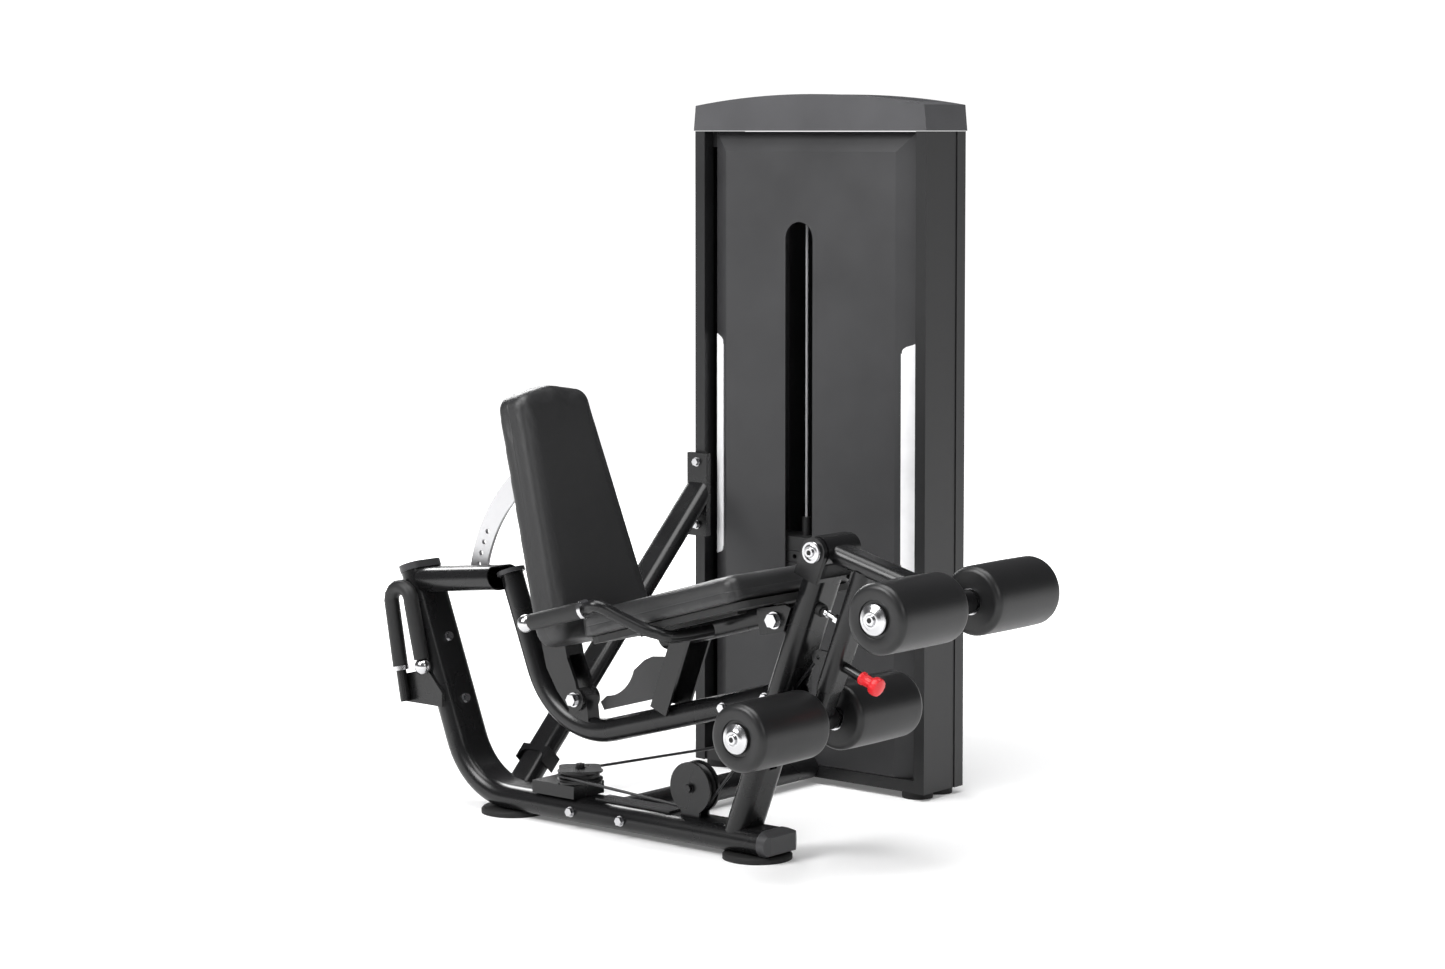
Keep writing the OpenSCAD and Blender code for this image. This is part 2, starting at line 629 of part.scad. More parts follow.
cap_low = tower_h - 79;
arch_r = 2100;
module tower_cap() color("#565658") tower() difference() {
    intersection() {
        translate([-tower_w - 2, -3, cap_low]) cube([tower_w + 4, tower_d + 6, 80]);
        translate([tower_mid, 0, tower_h - arch_r]) rotate([-90, 0, 0])
            translate([0, 0, -10]) cylinder(h = tower_d + 20, r = arch_r, $fn = 360);
        translate([tower_mid, 0, 0]) slab(-10, tower_d + 10) polygon([[-tower_w / 2 - 2, cap_low - 1],
            [tower_w / 2 + 2, cap_low - 1], [tower_w / 2 - 6, tower_h], [-tower_w / 2 + 6, tower_h]]);
    }
    translate([-tower_w + 8, 0, cap_low - 1]) cube([tower_w - 16, tower_d, 50]);
    difference() {
        translate([-tower_w + 50, 26, tower_h - 34]) cube([tower_w - 100, tower_d - 52, 60]);
        translate([tower_mid, 0, tower_h - arch_r - 5]) rotate([-90, 0, 0]) cylinder(h = tower_d, r = arch_r, $fn = 360);
    }
}

panel_l = -tower_w + post_d + 15;
panel_r = -post_d - 15;
panel_z0 = 42;
panel_z1 = cap_low - 2;
bevel = 43;
bevel_d = 20;
panel_y = 6;
slot_z0 = 118;
slot_z1 = 1224;
// Bevelled shell, deeper at its edges than at its flat middle.
module panel_body(inset, y) hull() {
    translate([panel_l + inset, y + bevel_d, panel_z0 + inset])
        cube([panel_r - panel_l - 2 * inset, 1, panel_z1 - panel_z0 - 2 * inset]);
    translate([panel_l + bevel + inset / 2, y, panel_z0 + inset])
        cube([panel_r - panel_l - 2 * bevel - inset, 1, panel_z1 - panel_z0 - bevel - 2 * inset]);
}
module front_panel() color("#38383a") tower() difference() {
    panel_body(0, panel_y);
    panel_body(3, panel_y + 3);
    slab(0, 30) {
        for (z = [slot_z0 + slot_w / 2, slot_z1 - slot_w / 2]) translate([slot_x, z]) circle(d = slot_w);
        translate([slot_x - slot_w / 2, slot_z0 + slot_w / 2]) square([slot_w, slot_z1 - slot_z0 - slot_w]);
        translate([tower_mid - 24, turn_pulley[2]]) circle(d = 18);
    }
}
// Light strips that lie on the two side bevels.
strip_w = 32;
strip_z = [480, 971];
module strip_shape() difference() {
    polygon([[2, strip_z[0]], [2 + strip_w, strip_z[0] + 9], [2 + strip_w, strip_z[1] - 11], [2, strip_z[1]]]);
    for (k = [0, 1]) translate([2 + strip_w, strip_z[k] + (k == 0 ? 9 : -11)]) rotate(k == 0 ? 12 : -14)
        difference() {
            translate([-10, k == 0 ? -4 : -10]) square([14, 14]);
            translate([-10, k == 0 ? 10 : -10]) circle(r = 10);
        }
}
module accent_strips() color("white") tower() {
    slope = atan2(bevel_d, bevel);
    for (s = [-1, 1]) translate([s < 0 ? panel_l : panel_r, panel_y + bevel_d, 0]) rotate([0, 0, s * slope])
        mirror([s > 0 ? 1 : 0, 0, 0]) slab(-1.5, 0) strip_shape();
}

module rear_panel() color("#2e2e30") tower() difference() {
    hull() {
        translate([-tower_w + post_d, tower_d - 3, 45]) cube([tower_w - 2 * post_d, 3, cap_low - 50]);
        translate([-tower_w + 110, tower_d + 50, 75]) cube([tower_w - 220, 6, cap_low - 140]);
    }
    hull() {
        translate([-tower_w + post_d + 4, tower_d - 8, 49]) cube([tower_w - 2 * post_d - 8, 4, cap_low - 58]);
        translate([-tower_w + 113, tower_d + 47, 79]) cube([tower_w - 226, 6, cap_low - 148]);
    }
}

module guide_rods() color("silver") tower() for (s = [-1, 1])
    translate([stack_x + s * rod_dx, stack_y, 30]) cylinder(h = 1375, d = rod_d);
module stack_bumpers() color("#111112") tower() for (s = [-1, 1]) translate([stack_x + s * rod_dx, stack_y, 45])
    difference() {
        cylinder(h = stack_z - 45, d = 60);
        translate([0, 0, -1]) cylinder(h = 100, d = rod_d + 1);
    }
module plate_block() difference() {
    translate([-150, -42, 0]) cube([300, 84, plate_t]);
    for (s = [-1, 1]) translate([s * rod_dx, 0, -1]) cylinder(h = plate_t + 2, d = rod_d + 3);
    translate([0, 0, -1]) cylinder(h = plate_t + 2, d = 30);
    translate([0, -60, plate_t / 2]) rotate([-90, 0, 0]) cylinder(h = 60, d = 11);
}
module weight_plates_low() color("#1e1e1f") tower() for (i = [0:plates_low - 1])
    translate([stack_x, stack_y, stack_z + i * plate_step]) plate_block();
module weight_plates_up() color("#1e1e1f") tower() for (i = [0:plates_up - 1])
    translate([stack_x, stack_y, stack_low_top + i * plate_step]) plate_block();
module weight_head() color("#202021") tower() translate([stack_x, stack_y, 0]) {
    difference() {
        translate([-150, -42, stack_top]) cube([300, 84, head_t]);
        for (s = [-1, 1]) translate([s * rod_dx, 0, stack_top - 1]) cylinder(h = head_t + 2, d = rod_d + 0.1);
    }
    translate([0, 0, stack_top + head_t]) cylinder(h = 40, d = 20);
    difference() {
        translate([0, 0, stack_z + 10]) cylinder(h = stack_top - stack_z - 10, d = 24);
        for (i = [0:plates_low + plates_up - 1]) translate([0, -20, stack_z + i * plate_step + plate_t / 2])
            rotate([-90, 0, 0]) cylinder(h = 40, d = 11);
    }
}
module selector_pin() color("#c8282a") tower() translate([stack_x, 0, stack_low_top + plate_t / 2]) {
    translate([0, 12, 0]) rotate([-90, 0, 0]) cylinder(h = 60, d = 9.6);
    translate([0, 2, 0]) rotate([-90, 0, 0]) cylinder(h = 12, d = 26);
}

// ---- lever ----

arm_end = arm_l * [cos(arm_rise), 0, sin(arm_rise)];
module arm_path() rotate([0, 90 - arm_rise, 0]) translate([0, 0, 20]) linear_extrude(arm_l - 20) children();
module bar_path() translate([bar_x, 0, -252]) linear_extrude(252) children();
module leg_lever() color("#1f1f20") head() {
    difference() {
        union() {
            pin_y(60, -44, 44);
            arm_path() oval(bar_t, bar_w);
            translate([bar_x, 0, -252]) linear_extrude(252) oval(bar_t, bar_w);
            translate(arm_end) pin_y(46, -34, 34);
        }
        pin_y(34, -50, 50);
        difference() {
            arm_path() oval(bar_t - 2 * wall, bar_w - 2 * wall);
            pin_y(60, -50, 50);
            translate(arm_end) pin_y(46, -40, 40);
        }
        translate([bar_x, 0, -253]) linear_extrude(250) oval(bar_t - 2 * wall, bar_w - 2 * wall);
        translate(arm_end) pin_y(axle_d, -60, 60);
        translate([bar_x, 0, pin_z]) rotate([0, 90, 0]) cylinder(h = 40, d = 10.2);
    }
    // Lug for the cable and the housing of the pull pin.
    slab(-5, 5) difference() {
        union() {
            translate(lug) circle(r = lug_r);
            polygon([[lug[0] - 8, lug[1] + 13], [bar_x - bar_t / 2 + 0.5, -184], [bar_x - bar_t / 2 + 0.5, -250],
                [lug[0] + 6, lug[1] - 13.5]]);
        }
        translate(lug) circle(d = 8);
    }
    difference() {
        translate([bar_x + bar_t / 2 - 0.5, 0, pin_z]) rotate([0, 90, 0]) cylinder(h = 42, d = 20);
        translate([bar_x, 0, pin_z]) rotate([0, 90, 0]) cylinder(h = 80, d = 10.2);
    }
}
module lever_bushes() color("#b08d4a") head() for (s = [-1, 1]) difference() {
    union() {
        pin_y(34, s < 0 ? -44 : 24, s < 0 ? -24 : 44);
        pin_y(44, s < 0 ? -46.5 : 44.2, s < 0 ? -44.2 : 46.5);
    }
    pin_y(axle_d + 0.1, -60, 60);
}
module pivot_axle() color("silver") head() {
    pin_y(axle_d, -60, 60);
    for (s = [-1, 1]) pin_y(40, s < 0 ? -64 : 57.2, s < 0 ? -57.2 : 64);
}
module stop_bumper() color("#0e0e0f") head() translate([post_t / 2, stop_y, stop_z]) rotate([0, 90, 0]) {
    cylinder(h = 10, d = 26);
    cylinder(h = 17, d = 18);
}
module stop_stud() color("silver") head() translate([0, stop_y, stop_z]) rotate([0, 90, 0]) {
    translate([0, 0, post_t / 2 + 17.4]) cylinder(h = bar_x - bar_t / 2 - post_t / 2 - 17, d = 10);
    translate([0, 0, post_t / 2 + 17.4]) cylinder(h = 6, d = 16);
    translate([0, 0, bar_x - bar_t / 2 - 9]) cylinder(h = 9, d = 20, $fn = 6);
}

module axle_pair() {
    pin_y(axle_d, -roller_y - roller_l - 2, roller_y + roller_l + 2);
    for (s = [-1, 1]) {
        y1 = s * (roller_y + roller_l + 1);
        translate([0, y1, 0]) rotate([-90 * s, 0, 0]) {
            cylinder(h = 4, d = 56);
            translate([0, 0, 4]) cylinder(h = 6, d1 = 56, d2 = 26);
        }
        translate([0, s * (roller_y - 3), 0]) rotate([-90 * s, 0, 0]) cylinder(h = 2, d = 50);
    }
}
module upper_axle() color("silver") head() translate(arm_end) axle_pair();
module roller(s) translate([0, s * roller_y, 0]) rotate([-90 * s, 0, 0]) rotate_extrude($fn = 72) difference() {
    hull() {
        translate([axle_d / 2 + 0.1, 0]) square([40, roller_l]);
        for (z = [14, roller_l - 14]) translate([roller_d / 2 - 14, z]) circle(r = 14);
    }
    translate([-200 + axle_d / 2 + 0.1, -10]) square([200, roller_l + 20]);
}
module upper_roller_near() color("#1d1d1e") head() translate(arm_end) roller(-1);
module upper_roller_far() color("#1d1d1e") head() translate(arm_end) roller(1);

low_axle = [bar_x, 0, low_axle_z];
module slide_tube() color("#101011") head() difference() {
    union() {
        translate([bar_x, 0, low_axle_z]) linear_extrude(210) oval(bar_t - 2 * wall - 0.6, bar_w - 2 * wall - 0.6);
        translate(low_axle) pin_y(44, -34, 34);
    }
    translate(low_axle + [0, 0, 30]) linear_extrude(200) oval(bar_t - 2 * wall - 6.6, bar_w - 2 * wall - 6.6);
    translate(low_axle) pin_y(axle_d, -60, 60);
    for (i = [-1:2]) translate([bar_x, 0, pin_z + i * 25]) rotate([0, 90, 0]) cylinder(h = 40, d = 10.2);
}
module lower_axle() color("silver") head() translate(low_axle) axle_pair();
module lower_roller_near() color("#1d1d1e") head() translate(low_axle) roller(-1);
module lower_roller_far() color("#1d1d1e") head() translate(low_axle) roller(1);

module lever_pin() color("#e0383c") head() translate([bar_x, 0, pin_z]) rotate([0, 90, 0]) {
    translate([0, 0, bar_t / 2 - wall + 0.2]) cylinder(h = 50, d = 10);
    translate([0, 0, bar_t / 2 + 43]) cylinder(h = 32, d = 26);
    translate([0, 0, bar_t / 2 + 75]) cylinder(h = 16, d = 36);
}

// ---- back rest ----

module back_outline(inset) hull() {
    for (s = [-1, 1]) {
        translate([s * (155 - inset - 36), 36 + inset]) circle(r = 36, $fn = soft_fn);
        translate([s * (116 - inset - 40), back_h - 52 - inset]) circle(r = 40, $fn = soft_fn);
    }
    translate([0, back_h - 60 - inset]) circle(r = 60, $fn = soft_fn);
}
module back_cushion() color("#2b2b2c") back() hull() {
    translate([12, 0, 0]) rotate([90, 0, 90]) linear_extrude(back_t - 22) back_outline(0);
    rotate([90, 0, 90]) linear_extrude(back_t) back_outline(9);
}
hinge_behind = (back_foot - back_hinge) * [cos(back_lean), 0, sin(back_lean)];
hinge_up = (back_hinge - back_foot) * [-sin(back_lean), 0, cos(back_lean)];
board_t = 8.5;
module back_frame() color("#232324") {
    back() translate([-board_t - 0.5, 0, 0]) rotate([90, 0, 90]) linear_extrude(board_t) back_outline(22);
    // Two lugs on the board's rear, and the hinge pin through them.
    back() for (s = [-1, 1]) slab(s * 32 - 5, s * 32 + 5) hull() {
        translate([-hinge_behind, hinge_up]) circle(r = 19);
        translate([-board_t - 2, hinge_up - 40]) square([1.5, 110]);
    }
    bench() translate(back_hinge) pin_y(19.8, -40, 40);
}
module recline_arc() color("#d8d8d8") bench() translate(back_hinge) {
    difference() {
        slab(arc_y - 4, arc_y + 4) difference() {
            circle(r = arc_out, $fn = 180);
            circle(r = arc_in, $fn = 180);
            rotate(99.5) translate([-800, -400]) square([800, 1600]);
            translate([-900, -900]) square([1800, 900 + 42]);
            for (i = [0:4]) rotate(180 - hole_a - i * hole_step) translate([(arc_out + arc_in) / 2, 0]) circle(d = 11);
        }
        translate(back_foot - back_hinge) rotate([0, -back_lean, 0]) translate([-9, -200, -50]) cube([500, 400, 900]);
    }
}
module back_pin() color("#111112") bench() translate(back_pin_at) {
    pin_y(10.6, arc_y + 4.5, arc_y + 50);
    pin_y(26, arc_y + 30, arc_y + 52);
}

base_beam();
beam_end_caps();
rear_beam();
cross_beam();
diagonal_brace();
brace_brackets();
base_feet();
front_post();
seat_tube();
seat_strut();
guard_plate();
seat_rail();
back_arm();
seat_board();
seat_cushion();
side_handles();
handle_grips();
handle_trim();
hook_handle();
hook_grip();
frame_bolts();
pulley_brackets();
pivot_axle();
stop_bumper();
tower_frame();
tower_cap();
front_panel();
rear_panel();
accent_strips();
guide_rods();
stack_bumpers();
lift_cable();
weight_plates_low();
weight_plates_up();
weight_head();
selector_pin();
base_pulley_wheel();
turn_pulley_wheel();
tower_pulley_low();
tower_pulley_top();
pulley_axles();
pulley_hangers();
cable_to_lever();
cable_to_stack();
leg_lever();
lever_bushes();
stop_stud();
upper_axle();
upper_roller_near();
upper_roller_far();
slide_tube();
lower_axle();
lower_roller_near();
lower_roller_far();
lever_pin();
back_frame();
back_cushion();
recline_arc();
back_pin();
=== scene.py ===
import json
import math
import bmesh
import bpy
import numpy as np
from mathutils import Matrix, Vector


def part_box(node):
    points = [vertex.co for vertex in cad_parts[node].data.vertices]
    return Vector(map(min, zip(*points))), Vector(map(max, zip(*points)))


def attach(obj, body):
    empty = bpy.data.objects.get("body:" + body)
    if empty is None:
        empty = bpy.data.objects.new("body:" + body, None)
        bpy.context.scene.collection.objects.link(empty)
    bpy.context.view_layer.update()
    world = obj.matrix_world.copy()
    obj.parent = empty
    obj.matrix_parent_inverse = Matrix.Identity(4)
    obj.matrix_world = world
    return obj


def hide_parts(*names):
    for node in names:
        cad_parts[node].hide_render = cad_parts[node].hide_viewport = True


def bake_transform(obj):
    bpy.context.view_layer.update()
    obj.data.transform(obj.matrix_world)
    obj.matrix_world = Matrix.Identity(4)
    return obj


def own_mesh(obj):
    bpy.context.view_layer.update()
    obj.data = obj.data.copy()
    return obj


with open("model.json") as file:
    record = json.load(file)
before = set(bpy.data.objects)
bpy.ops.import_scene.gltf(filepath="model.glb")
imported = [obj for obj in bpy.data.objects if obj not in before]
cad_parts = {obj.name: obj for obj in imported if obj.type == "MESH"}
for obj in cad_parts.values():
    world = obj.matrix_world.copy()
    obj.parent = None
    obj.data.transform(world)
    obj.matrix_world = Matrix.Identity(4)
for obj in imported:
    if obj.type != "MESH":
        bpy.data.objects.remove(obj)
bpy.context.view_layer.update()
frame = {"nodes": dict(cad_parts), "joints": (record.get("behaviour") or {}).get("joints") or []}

# ---- Camera -------------------------------------------------------------------------------
# Stands in front of the knee end, a little above seat height, and looks slightly down so that
# uprights stay upright with only a small lens shift.
camera = bpy.data.objects.new("camera", bpy.data.cameras.new("camera"))
bpy.context.scene.collection.objects.link(camera)
bpy.context.scene.camera = camera
pitch = math.radians(3.727)
look = Vector((-0.6464 * math.cos(pitch), 0.7630 * math.cos(pitch), -math.sin(pitch)))
camera.matrix_world = Matrix.LocRotScale(Vector((4.1785, -5.067, 1.421)), look.to_track_quat("-Z", "Y"), None)
camera.data.sensor_width = 36
camera.data.lens = 80.03
camera.data.shift_y = -0.10
camera.data.clip_end = 200
bpy.context.scene.view_settings.view_transform = "Standard"

# ---- Studio -------------------------------------------------------------------------------
# A pale floor that glows more with distance, so it runs into a white horizon, under soft area
# lights. The sky is white near the horizon and dim overhead, so dark paint keeps highlights.
def paint_nodes(name):
    """An empty node material with its shader: returns the material, its tree and the shader."""
    mat = bpy.data.materials.new(name)
    mat.use_nodes = True
    return mat, mat.node_tree, mat.node_tree.nodes["Principled BSDF"]

floor_mat, tree, shader = paint_nodes("floor_pale")
noise = tree.nodes.new("ShaderNodeTexNoise")
noise.inputs["Scale"].default_value = 6
ramp = tree.nodes.new("ShaderNodeValToRGB")
ramp.color_ramp.elements[0].color = (0.90, 0.90, 0.90, 1)
ramp.color_ramp.elements[1].color = (0.93, 0.93, 0.93, 1)
tree.links.new(noise.outputs["Fac"], ramp.inputs["Fac"])
tree.links.new(ramp.outputs["Color"], shader.inputs["Base Color"])
shader.inputs["Roughness"].default_value = 0.9
shader.inputs["Specular IOR Level"].default_value = 0.1
place = tree.nodes.new("ShaderNodeTexCoord")
reach = tree.nodes.new("ShaderNodeVectorMath")
reach.operation = "LENGTH"
glow = tree.nodes.new("ShaderNodeMapRange")
glow.inputs["From Min"].default_value, glow.inputs["From Max"].default_value = 1.0, 3.6
glow.inputs["To Min"].default_value, glow.inputs["To Max"].default_value = 0.14, 1.0
tree.links.new(place.outputs["Object"], reach.inputs[0])
tree.links.new(reach.outputs["Value"], glow.inputs["Value"])
tree.links.new(glow.outputs["Result"], shader.inputs["Emission Strength"])
shader.inputs["Emission Color"].default_value = (1, 1, 1, 1)
floor_mesh = bpy.data.meshes.new("floor")
floor_mesh.from_pydata([(-60, -60, 0), (60, -60, 0), (60, 60, 0), (-60, 60, 0)], [], [(0, 1, 2, 3)])
floor = bpy.data.objects.new("floor", floor_mesh)
floor_mesh.materials.append(floor_mat)
bpy.context.scene.collection.objects.link(floor)

world = bpy.data.worlds.new("studio")
bpy.context.scene.world = world
world.use_nodes = True
sky = world.node_tree
coord = sky.nodes.new("ShaderNodeTexCoord")
split = sky.nodes.new("ShaderNodeSeparateXYZ")
fade = sky.nodes.new("ShaderNodeValToRGB")
fade.color_ramp.elements[0].position = 0.05
fade.color_ramp.elements[0].color = (1.05, 1.05, 1.05, 1)
fade.color_ramp.elements[1].position = 0.12
fade.color_ramp.elements[1].color = (0.13, 0.13, 0.135, 1)
sky.links.new(coord.outputs["Generated"], split.inputs[0])
sky.links.new(split.outputs["Z"], fade.inputs["Fac"])
sky.links.new(fade.outputs["Color"], sky.nodes["Background"].inputs["Color"])

for name, spot, aim_at, size, watts in [
    ("key", (-1.5, -4.5, 4.2), (0, 0, 0.6), 2.6, 300),
    ("fill", (5.0, -1.5, 3.0), (0, 0, 0.7), 2.4, 55),
    ("top", (0.2, -0.6, 4.6), (0, 0, 0.5), 3.2, 210),
    ("rim", (-4.5, 2.5, 3.2), (0, 0, 0.8), 2.2, 150),
]:
    lamp = bpy.data.objects.new(name, bpy.data.lights.new(name, "AREA"))
    lamp.data.size, lamp.data.energy = size, watts
    away = Vector(aim_at) - Vector(spot)
    lamp.matrix_world = Matrix.LocRotScale(Vector(spot), away.to_track_quat("-Z", "Y"), None)
    bpy.context.scene.collection.objects.link(lamp)

# ---- Powder-coated steel ------------------------------------------------------------------
# Tubes, plates and brackets are steel, sprayed with black polyester powder and baked. The coat
# has a fine orange-peel skin and a slight change of gloss from place to place.
def powder_coat(name, colour, rough=0.27, grain=900.0, lift=0.06, spread=0.12):
    """Satin baked paint: colour and roughness drift with soft noise; fine noise raises the skin."""
    mat, tree, shader = paint_nodes(name)
    place = tree.nodes.new("ShaderNodeTexCoord")
    drift = tree.nodes.new("ShaderNodeTexNoise")
    drift.inputs["Scale"].default_value = 7
    drift.inputs["Detail"].default_value = 4
    tone = tree.nodes.new("ShaderNodeValToRGB")
    tone.color_ramp.elements[0].position, tone.color_ramp.elements[1].position = 0.3, 0.7
    tone.color_ramp.elements[0].color = (*[c * 0.86 for c in colour], 1)
    tone.color_ramp.elements[1].color = (*[c * 1.14 for c in colour], 1)
    gloss = tree.nodes.new("ShaderNodeMapRange")
    gloss.inputs["To Min"].default_value = rough - spread / 2
    gloss.inputs["To Max"].default_value = rough + spread / 2
    peel = tree.nodes.new("ShaderNodeTexNoise")
    peel.inputs["Scale"].default_value = grain
    bump = tree.nodes.new("ShaderNodeBump")
    bump.inputs["Strength"].default_value = lift
    bump.inputs["Distance"].default_value = 0.0006
    for node in (drift, peel):
        tree.links.new(place.outputs["Object"], node.inputs["Vector"])
    tree.links.new(drift.outputs["Fac"], tone.inputs["Fac"])
    tree.links.new(tone.outputs["Color"], shader.inputs["Base Color"])
    tree.links.new(drift.outputs["Fac"], gloss.inputs["Value"])
    tree.links.new(gloss.outputs["Result"], shader.inputs["Roughness"])
    tree.links.new(peel.outputs["Fac"], bump.inputs["Height"])
    tree.links.new(bump.outputs["Normal"], shader.inputs["Normal"])
    shader.inputs["Specular IOR Level"].default_value = 0.36
    return mat

def finish_nodes(mat, *names):
    """Give CAD nodes one finish."""
    for name in names:
        mesh = frame["nodes"][name].data
        mesh.materials.clear()
        mesh.materials.append(mat)

black_coat = powder_coat("black_powder_coat", (0.0062, 0.0062, 0.0066))
finish_nodes(black_coat, "base_beam", "rear_beam", "cross_beam", "diagonal_brace", "brace_brackets",
             "front_post", "seat_tube", "seat_strut", "seat_rail", "back_arm", "pulley_brackets",
             "pulley_hangers", "leg_lever", "slide_tube", "back_frame", "hook_handle")
guard_coat = powder_coat("guard_powder_coat", (0.030, 0.030, 0.031), 0.38)
finish_nodes(guard_coat, "guard_plate")

# ---- Weight tower -------------------------------------------------------------------------
# A folded sheet-steel housing: dark satin side walls and posts, a slightly lighter front sheet
# with bevelled edges, a moulded arched cap, and two white strips let into the bevels.
tower_coat = powder_coat("tower_powder_coat", (0.0085, 0.0085, 0.0090), 0.34)
finish_nodes(tower_coat, "tower_frame")
panel_coat = powder_coat("panel_powder_coat", (0.0265, 0.0265, 0.0278), 0.42, grain=1300.0)
finish_nodes(panel_coat, "front_panel", "rear_panel")
cap_skin = powder_coat("cap_moulded_skin", (0.046, 0.046, 0.049), 0.46, grain=1500.0, lift=0.12)
finish_nodes(cap_skin, "tower_cap")
strip_gloss = powder_coat("strip_white_acrylic", (0.82, 0.82, 0.83), 0.3, lift=0.02)
finish_nodes(strip_gloss, "accent_strips")

# ---- Plastic and rubber ends --------------------------------------------------------------
# End caps, stops and feet are moulded; the feet are hard black rubber with a dull skin.
grey_moulding = powder_coat("grey_moulding", (0.040, 0.040, 0.042), 0.38, grain=1600.0, lift=0.1)
finish_nodes(grey_moulding, "beam_end_caps")
hard_rubber = powder_coat("hard_rubber", (0.011, 0.011, 0.011), 0.72, grain=700.0, lift=0.2)
finish_nodes(hard_rubber, "base_feet", "stack_bumpers", "stop_bumper")
nylon = powder_coat("pulley_nylon", (0.010, 0.010, 0.0104), 0.36, grain=1100.0, lift=0.05)
finish_nodes(nylon, "base_pulley_wheel", "turn_pulley_wheel", "tower_pulley_low", "tower_pulley_top",
             "back_pin")
iron = powder_coat("plate_iron_paint", (0.014, 0.014, 0.0145), 0.5, grain=260.0, lift=0.3)
finish_nodes(iron, "weight_plates_low", "weight_plates_up", "weight_head")
ply = powder_coat("painted_ply", (0.012, 0.012, 0.012), 0.6, grain=500.0, lift=0.25)
finish_nodes(ply, "seat_board")

# ---- Bright metal -------------------------------------------------------------------------
# Chromed axles, caps and bolts, and a satin-ground steel arc. Fine turning lines and faint
# wear change the gloss.
def bright_metal(name, colour, rough, wear, scratch=(900.0, 900.0, 40.0)):
    """Metal whose roughness follows stretched noise, as ground or polished steel has."""
    mat, tree, shader = paint_nodes(name)
    place = tree.nodes.new("ShaderNodeTexCoord")
    stretch = tree.nodes.new("ShaderNodeMapping")
    stretch.inputs["Scale"].default_value = scratch
    lines = tree.nodes.new("ShaderNodeTexNoise")
    lines.inputs["Scale"].default_value = 1
    lines.inputs["Detail"].default_value = 3
    gloss = tree.nodes.new("ShaderNodeMapRange")
    gloss.inputs["To Min"].default_value = rough
    gloss.inputs["To Max"].default_value = rough + wear
    bump = tree.nodes.new("ShaderNodeBump")
    bump.inputs["Strength"].default_value = 0.03
    bump.inputs["Distance"].default_value = 0.0003
    tree.links.new(place.outputs["Object"], stretch.inputs["Vector"])
    tree.links.new(stretch.outputs["Vector"], lines.inputs["Vector"])
    tree.links.new(lines.outputs["Fac"], gloss.inputs["Value"])
    tree.links.new(gloss.outputs["Result"], shader.inputs["Roughness"])
    tree.links.new(lines.outputs["Fac"], bump.inputs["Height"])
    tree.links.new(bump.outputs["Normal"], shader.inputs["Normal"])
    shader.inputs["Base Color"].default_value = (*colour, 1)
    shader.inputs["Metallic"].default_value = 1
    return mat

chrome = bright_metal("chrome_plate", (0.50, 0.50, 0.51), 0.14, 0.12)
finish_nodes(chrome, "handle_trim", "frame_bolts", "pivot_axle", "guide_rods", "stop_stud",
             "upper_axle", "lower_axle")
ground_steel = bright_metal("ground_steel", (0.58, 0.58, 0.59), 0.3, 0.15, (60.0, 900.0, 900.0))
finish_nodes(ground_steel, "recline_arc", "pulley_axles")
bronze = bright_metal("bearing_bronze", (0.52, 0.36, 0.16), 0.28, 0.15)
finish_nodes(bronze, "lever_bushes")

# ---- Foam rollers -------------------------------------------------------------------------
# Four moulded foam rollers turn on the chrome axles. Each is a barrel with round shoulders,
# a shallow ring at its outer end and a skin that is smoother than the foam inside.
def turned(name, profile, start, along, seg=96, slots=()):
    """Surface of revolution: a profile of (radius, distance) carried round an axis."""
    along = Vector(along).normalized()
    side = along.orthogonal().normalized()
    other = along.cross(side)
    prof = np.array(profile)
    a = np.linspace(0, 2 * np.pi, seg, endpoint=False)
    ring = np.outer(np.cos(a), side) + np.outer(np.sin(a), other)
    pts = np.array(start) + prof[:, 1][:, None, None] * np.array(along) + prof[:, 0][:, None, None] * ring
    n = len(prof)
    i, j = np.meshgrid(np.arange(n - 1), np.arange(seg), indexing="ij")
    k = (j + 1) % seg
    quads = np.stack([i * seg + j, i * seg + k, (i + 1) * seg + k, (i + 1) * seg + j], -1).reshape(-1, 4)
    return surface(name, pts.reshape(-1, 3), quads.tolist(), slots)

def surface(name, pts, faces, mats=()):
    """A new object from points and faces, welded where a profile meets its axis, shaded smooth."""
    mesh = bpy.data.meshes.new(name)
    mesh.from_pydata(pts.tolist(), [], faces)
    bm = bmesh.new()
    bm.from_mesh(mesh)
    bmesh.ops.remove_doubles(bm, verts=bm.verts, dist=1e-6)
    bmesh.ops.dissolve_degenerate(bm, edges=bm.edges, dist=1e-7)
    bmesh.ops.recalc_face_normals(bm, faces=bm.faces)
    bm.to_mesh(mesh)
    bm.free()
    mesh.shade_smooth()
    mesh.set_sharp_from_angle(angle=math.radians(38))
    obj = bpy.data.objects.new(name, mesh)
    bpy.context.scene.collection.objects.link(obj)
    for mat in mats:
        mesh.materials.append(mat)
    return obj

def arc_profile(radius, centre, start, end, n=9):
    """Points of a round in (radius, distance), from one angle to another."""
    a = np.radians(np.linspace(start, end, n))
    return [(centre[0] + radius * math.cos(t), centre[1] + radius * math.sin(t)) for t in a]

